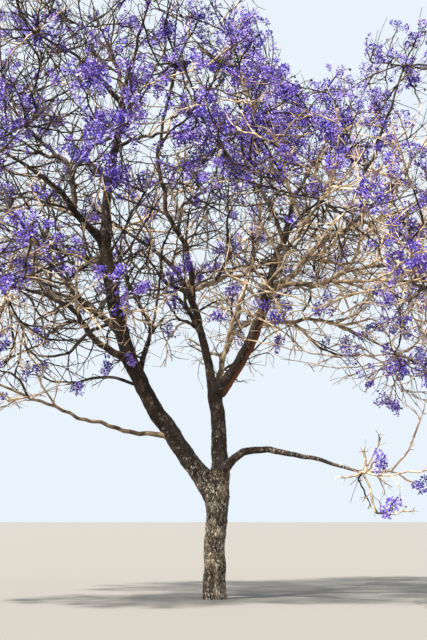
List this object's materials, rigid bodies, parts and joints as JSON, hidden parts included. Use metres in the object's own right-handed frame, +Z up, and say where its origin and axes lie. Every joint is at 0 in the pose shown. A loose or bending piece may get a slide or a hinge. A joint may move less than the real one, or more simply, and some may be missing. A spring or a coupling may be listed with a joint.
{
  "type": "jacaranda tree",
  "caption": "Mature jacaranda in full violet blossom before its leaves, with a short leaning trunk, two great boughs and a broad open crown.",
  "frame": {"origin": "middle of the flat cut under the trunk, at ground level", "axes": "+Z up, +X to the right of the tree as it is seen in the picture, +Y away from the viewer"},
  "size_m": [13.9111, 11.5274, 14.7228],
  "materials": {
    "bark": "rough",
    "blossom": "matte"
  },
  "bodies": {
    "root": {"trunk": "bark", "leader_bough": "bark", "left_bough": "bark", "left_upper_bough": "bark", "middle_bough": "bark", "right_bough": "bark", "right_fork_bough": "bark", "right_skirt_bough": "bark", "back_limb": "bark", "crossing_limb": "bark", "high_front_limb": "bark", "leader_back_limb": "bark", "leader_left_limb": "bark", "leader_level_limb": "bark", "leader_top_limb": "bark", "left_back_limb": "bark", "left_front_limb": "bark", "left_level_limb": "bark", "left_lower_limb": "bark", "left_riser_limb": "bark", "left_skirt_limb": "bark", "low_front_limb": "bark", "middle_back_limb": "bark", "middle_riser_limb": "bark", "right_drooping_limb": "bark", "right_level_limb": "bark", "right_outer_limb": "bark", "right_rising_limb": "bark", "right_tall_limb": "bark", "right_top_limb": "bark", "top_back_limb": "bark", "top_front_limb": "bark", "top_middle_limb": "bark", "back_spray": "blossom", "crossing_spray": "blossom", "high_front_spray": "blossom", "leader_back_spray": "blossom", "leader_left_spray": "blossom", "leader_level_spray": "blossom", "leader_top_spray": "blossom", "left_back_spray": "blossom", "left_front_spray": "blossom", "left_level_spray": "blossom", "left_lower_spray": "blossom", "left_riser_spray": "blossom", "left_skirt_spray": "blossom", "left_upper_spray": "blossom", "low_front_spray": "blossom", "middle_back_spray": "blossom", "middle_riser_spray": "blossom", "middle_spray": "blossom", "right_drooping_spray": "blossom", "right_level_spray": "blossom", "right_outer_spray": "blossom", "right_rising_spray": "blossom", "right_skirt_spray": "blossom", "right_tall_spray": "blossom", "top_back_spray": "blossom", "top_front_spray": "blossom", "top_middle_spray": "blossom"}
  },
  "joints": []
}
